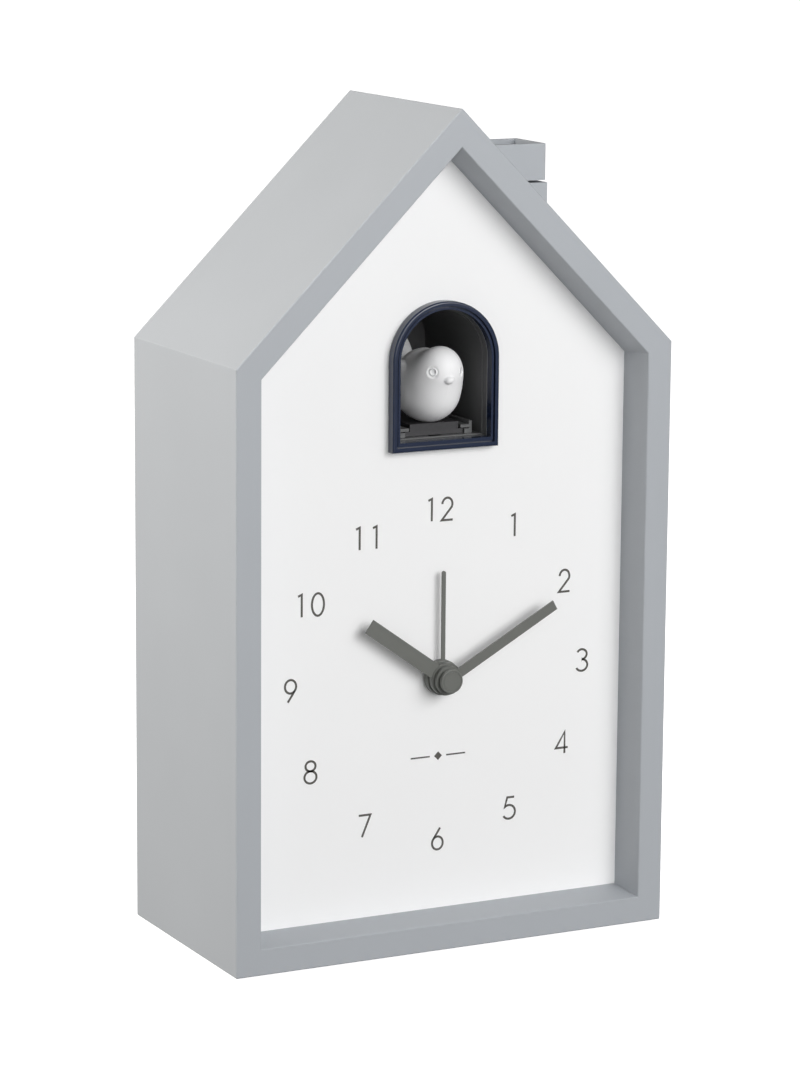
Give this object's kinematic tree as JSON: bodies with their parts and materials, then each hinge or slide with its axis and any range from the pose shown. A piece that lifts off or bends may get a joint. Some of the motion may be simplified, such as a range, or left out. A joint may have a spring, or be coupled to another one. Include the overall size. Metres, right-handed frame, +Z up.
{
  "type": "cuckoo clock",
  "caption": "House-shaped table alarm clock with hour, minute and alarm hands, a cuckoo that slides out of an arched window, and a chimney snooze button.",
  "frame": {"origin": "on the surface the clock stands on, under the middle of the housing", "axes": "+Z up, +X to the right seen from the front, +Y to the rear; the dial faces -Y"},
  "size_m": [0.125, 0.064, 0.2194],
  "materials": {
    "housing_plastic": "fine satin moulded plastic",
    "cover_plastic": "satin moulded plastic",
    "dial_board": "matt white",
    "frame_gloss": "gloss navy",
    "niche_plastic": "black, satin",
    "bird_plastic": "smooth white",
    "hand_lacquer": "satin lacquer",
    "gear_plastic": "natural acetal",
    "movement_plastic": "black moulded",
    "steel": "bright plated",
    "contact_brass": "bright",
    "copper_wire": "enamelled copper",
    "circuit_laminate": "solder resist",
    "speaker_black": "paper and steel",
    "cell_jacket": "printed sleeve, plain",
    "foot_rubber": "soft rubber"
  },
  "bodies": {
    "case": {"housing": "housing_plastic", "rubber_feet": "foot_rubber", "dial_plate": "dial_board", "window_frame": "frame_gloss", "niche_shell": "niche_plastic", "guide_rails": "niche_plastic", "drive_axle": "steel", "drive_motor": "steel", "drive_bracket": "niche_plastic", "drive_screws": "steel", "movement_front_case": "movement_plastic", "train_plate": "gear_plastic", "movement_rear_case": "movement_plastic", "stator": "steel", "coil_bobbin": "gear_plastic", "coil_winding": "copper_wire", "movement_circuit": "circuit_laminate", "alarm_contact": "contact_brass", "back_cover": "cover_plastic", "cover_screws": "steel", "switch_housings": "movement_plastic", "main_board": "circuit_laminate", "speaker": "speaker_black", "battery_tray": "niche_plastic", "batteries": "cell_jacket", "battery_contacts": "steel", "battery_springs": "steel", "switch_board": "circuit_laminate", "snooze_switch": "movement_plastic", "case_screws": "steel", "board_screws": "steel", "button_spring": "steel"},
    "bird_assembly": {"bird_carriage": "niche_plastic", "bird": "bird_plastic", "bird_screw": "steel", "drive_rack": "gear_plastic"},
    "bird_gear": {"drive_gear": "gear_plastic"},
    "motor_shaft": {"motor_pinion": "gear_plastic"},
    "minute_assembly": {"minute_arbor": "steel", "minute_hand": "hand_lacquer", "hand_cap": "hand_lacquer"},
    "motion_assembly": {"motion_wheel": "gear_plastic"},
    "hour_assembly": {"hour_wheel": "gear_plastic", "hour_hand": "hand_lacquer"},
    "alarm_assembly": {"alarm_wheel": "gear_plastic", "alarm_hand": "hand_lacquer"},
    "alarm_setting": {"alarm_pinion": "gear_plastic", "alarm_knob": "cover_plastic"},
    "time_setting": {"time_pinion": "gear_plastic", "time_knob": "cover_plastic"},
    "centre_mobile": {"centre_wheel": "gear_plastic"},
    "third_mobile": {"third_wheel": "gear_plastic"},
    "second_mobile": {"second_wheel": "gear_plastic"},
    "intermediate_mobile": {"intermediate_wheel": "gear_plastic"},
    "rotor_mobile": {"rotor": "gear_plastic"},
    "chimney": {"chimney_button": "housing_plastic", "stem_clip": "steel"},
    "alarm_slider": {"alarm_switch": "niche_plastic"},
    "sound_slider": {"sound_switch": "niche_plastic"},
    "battery_lid": {"battery_door": "cover_plastic"}
  },
  "joints": [
    {"name": "bird_slide", "type": "slide", "parent": "case", "child": "bird_assembly", "axis": [0, -1, 0], "range_m": [0, 0.016]},
    {"name": "bird_gear_turn", "type": "hinge", "parent": "case", "child": "bird_gear", "pos_m": [0, 0, 0.1267], "axis": [1, 0, 0], "range_deg": [-2, 265]},
    {"name": "motor_turn", "type": "hinge", "parent": "case", "child": "motor_shaft", "pos_m": [0.003, 0, 0.1187], "axis": [1, 0, 0], "range_deg": [-580, 2]},
    {"name": "minute_turn", "type": "hinge", "parent": "case", "child": "minute_assembly", "pos_m": [0, -0.014, 0.0716], "axis": [0, 1, 0], "continuous": true},
    {"name": "motion_turn", "type": "hinge", "parent": "case", "child": "motion_assembly", "pos_m": [-0.00551, -0.0146, 0.06374], "axis": [0, 1, 0], "continuous": true},
    {"name": "hour_turn", "type": "hinge", "parent": "case", "child": "hour_assembly", "pos_m": [0, -0.016, 0.0716], "axis": [0, 1, 0], "continuous": true},
    {"name": "time_knob_turn", "type": "hinge", "parent": "case", "child": "time_setting", "pos_m": [-0.01382, 0, 0.05894], "axis": [0, 1, 0], "continuous": true},
    {"name": "alarm_turn", "type": "hinge", "parent": "case", "child": "alarm_assembly", "pos_m": [0, -0.0174, 0.0716], "axis": [0, 1, 0], "continuous": true},
    {"name": "alarm_knob_turn", "type": "hinge", "parent": "case", "child": "alarm_setting", "pos_m": [0.00462, 0, 0.05891], "axis": [0, 1, 0], "continuous": true},
    {"name": "rotor_turn", "type": "hinge", "parent": "case", "child": "rotor_mobile", "pos_m": [-0.00348, -0.008, 0.08475], "axis": [0, 1, 0], "continuous": true},
    {"name": "intermediate_turn", "type": "hinge", "parent": "case", "child": "intermediate_mobile", "pos_m": [0.00152, -0.007, 0.08475], "axis": [0, 1, 0], "continuous": true},
    {"name": "second_turn", "type": "hinge", "parent": "case", "child": "second_mobile", "pos_m": [0.00821, -0.008, 0.08357], "axis": [0, 1, 0], "continuous": true},
    {"name": "third_turn", "type": "hinge", "parent": "case", "child": "third_mobile", "pos_m": [0.00696, -0.009, 0.07648], "axis": [0, 1, 0], "continuous": true},
    {"name": "centre_turn", "type": "hinge", "parent": "case", "child": "centre_mobile", "pos_m": [0, -0.0102, 0.0716], "axis": [0, 1, 0], "continuous": true},
    {"name": "chimney_press", "type": "slide", "parent": "case", "child": "chimney", "axis": [0, 0, -1], "range_m": [0, 0.0005], "stiffness_N_per_m": 1500, "springref_m": -0.0004, "deforming": ["button_spring"]},
    {"name": "alarm_switch_slide", "type": "slide", "parent": "case", "child": "alarm_slider", "axis": [1, 0, 0], "range_m": [0, 0.004]},
    {"name": "sound_switch_slide", "type": "slide", "parent": "case", "child": "sound_slider", "axis": [1, 0, 0], "range_m": [0, 0.004]},
    {"name": "battery_door_turn", "type": "hinge", "parent": "case", "child": "battery_lid", "pos_m": [0, 0.023, 0.0102], "axis": [-1, 0, 0], "range_deg": [0, 80]}
  ],
  "couplings": [
    {"joint": "bird_gear_turn", "follows": "bird_slide", "rad_per_m": 285.71},
    {"joint": "motor_turn", "follows": "bird_slide", "rad_per_m": -628.57},
    {"joint": "motion_turn", "follows": "minute_turn", "ratio": -0.33333},
    {"joint": "hour_turn", "follows": "minute_turn", "ratio": 0.083333},
    {"joint": "time_knob_turn", "follows": "minute_turn", "ratio": 1},
    {"joint": "alarm_knob_turn", "follows": "alarm_turn", "ratio": -2},
    {"joint": "intermediate_turn", "follows": "rotor_turn", "ratio": -0.25},
    {"joint": "second_turn", "follows": "rotor_turn", "ratio": 0.033333},
    {"joint": "third_turn", "follows": "rotor_turn", "ratio": -0.0041667},
    {"joint": "centre_turn", "follows": "rotor_turn", "ratio": 0.00055556}
  ]
}
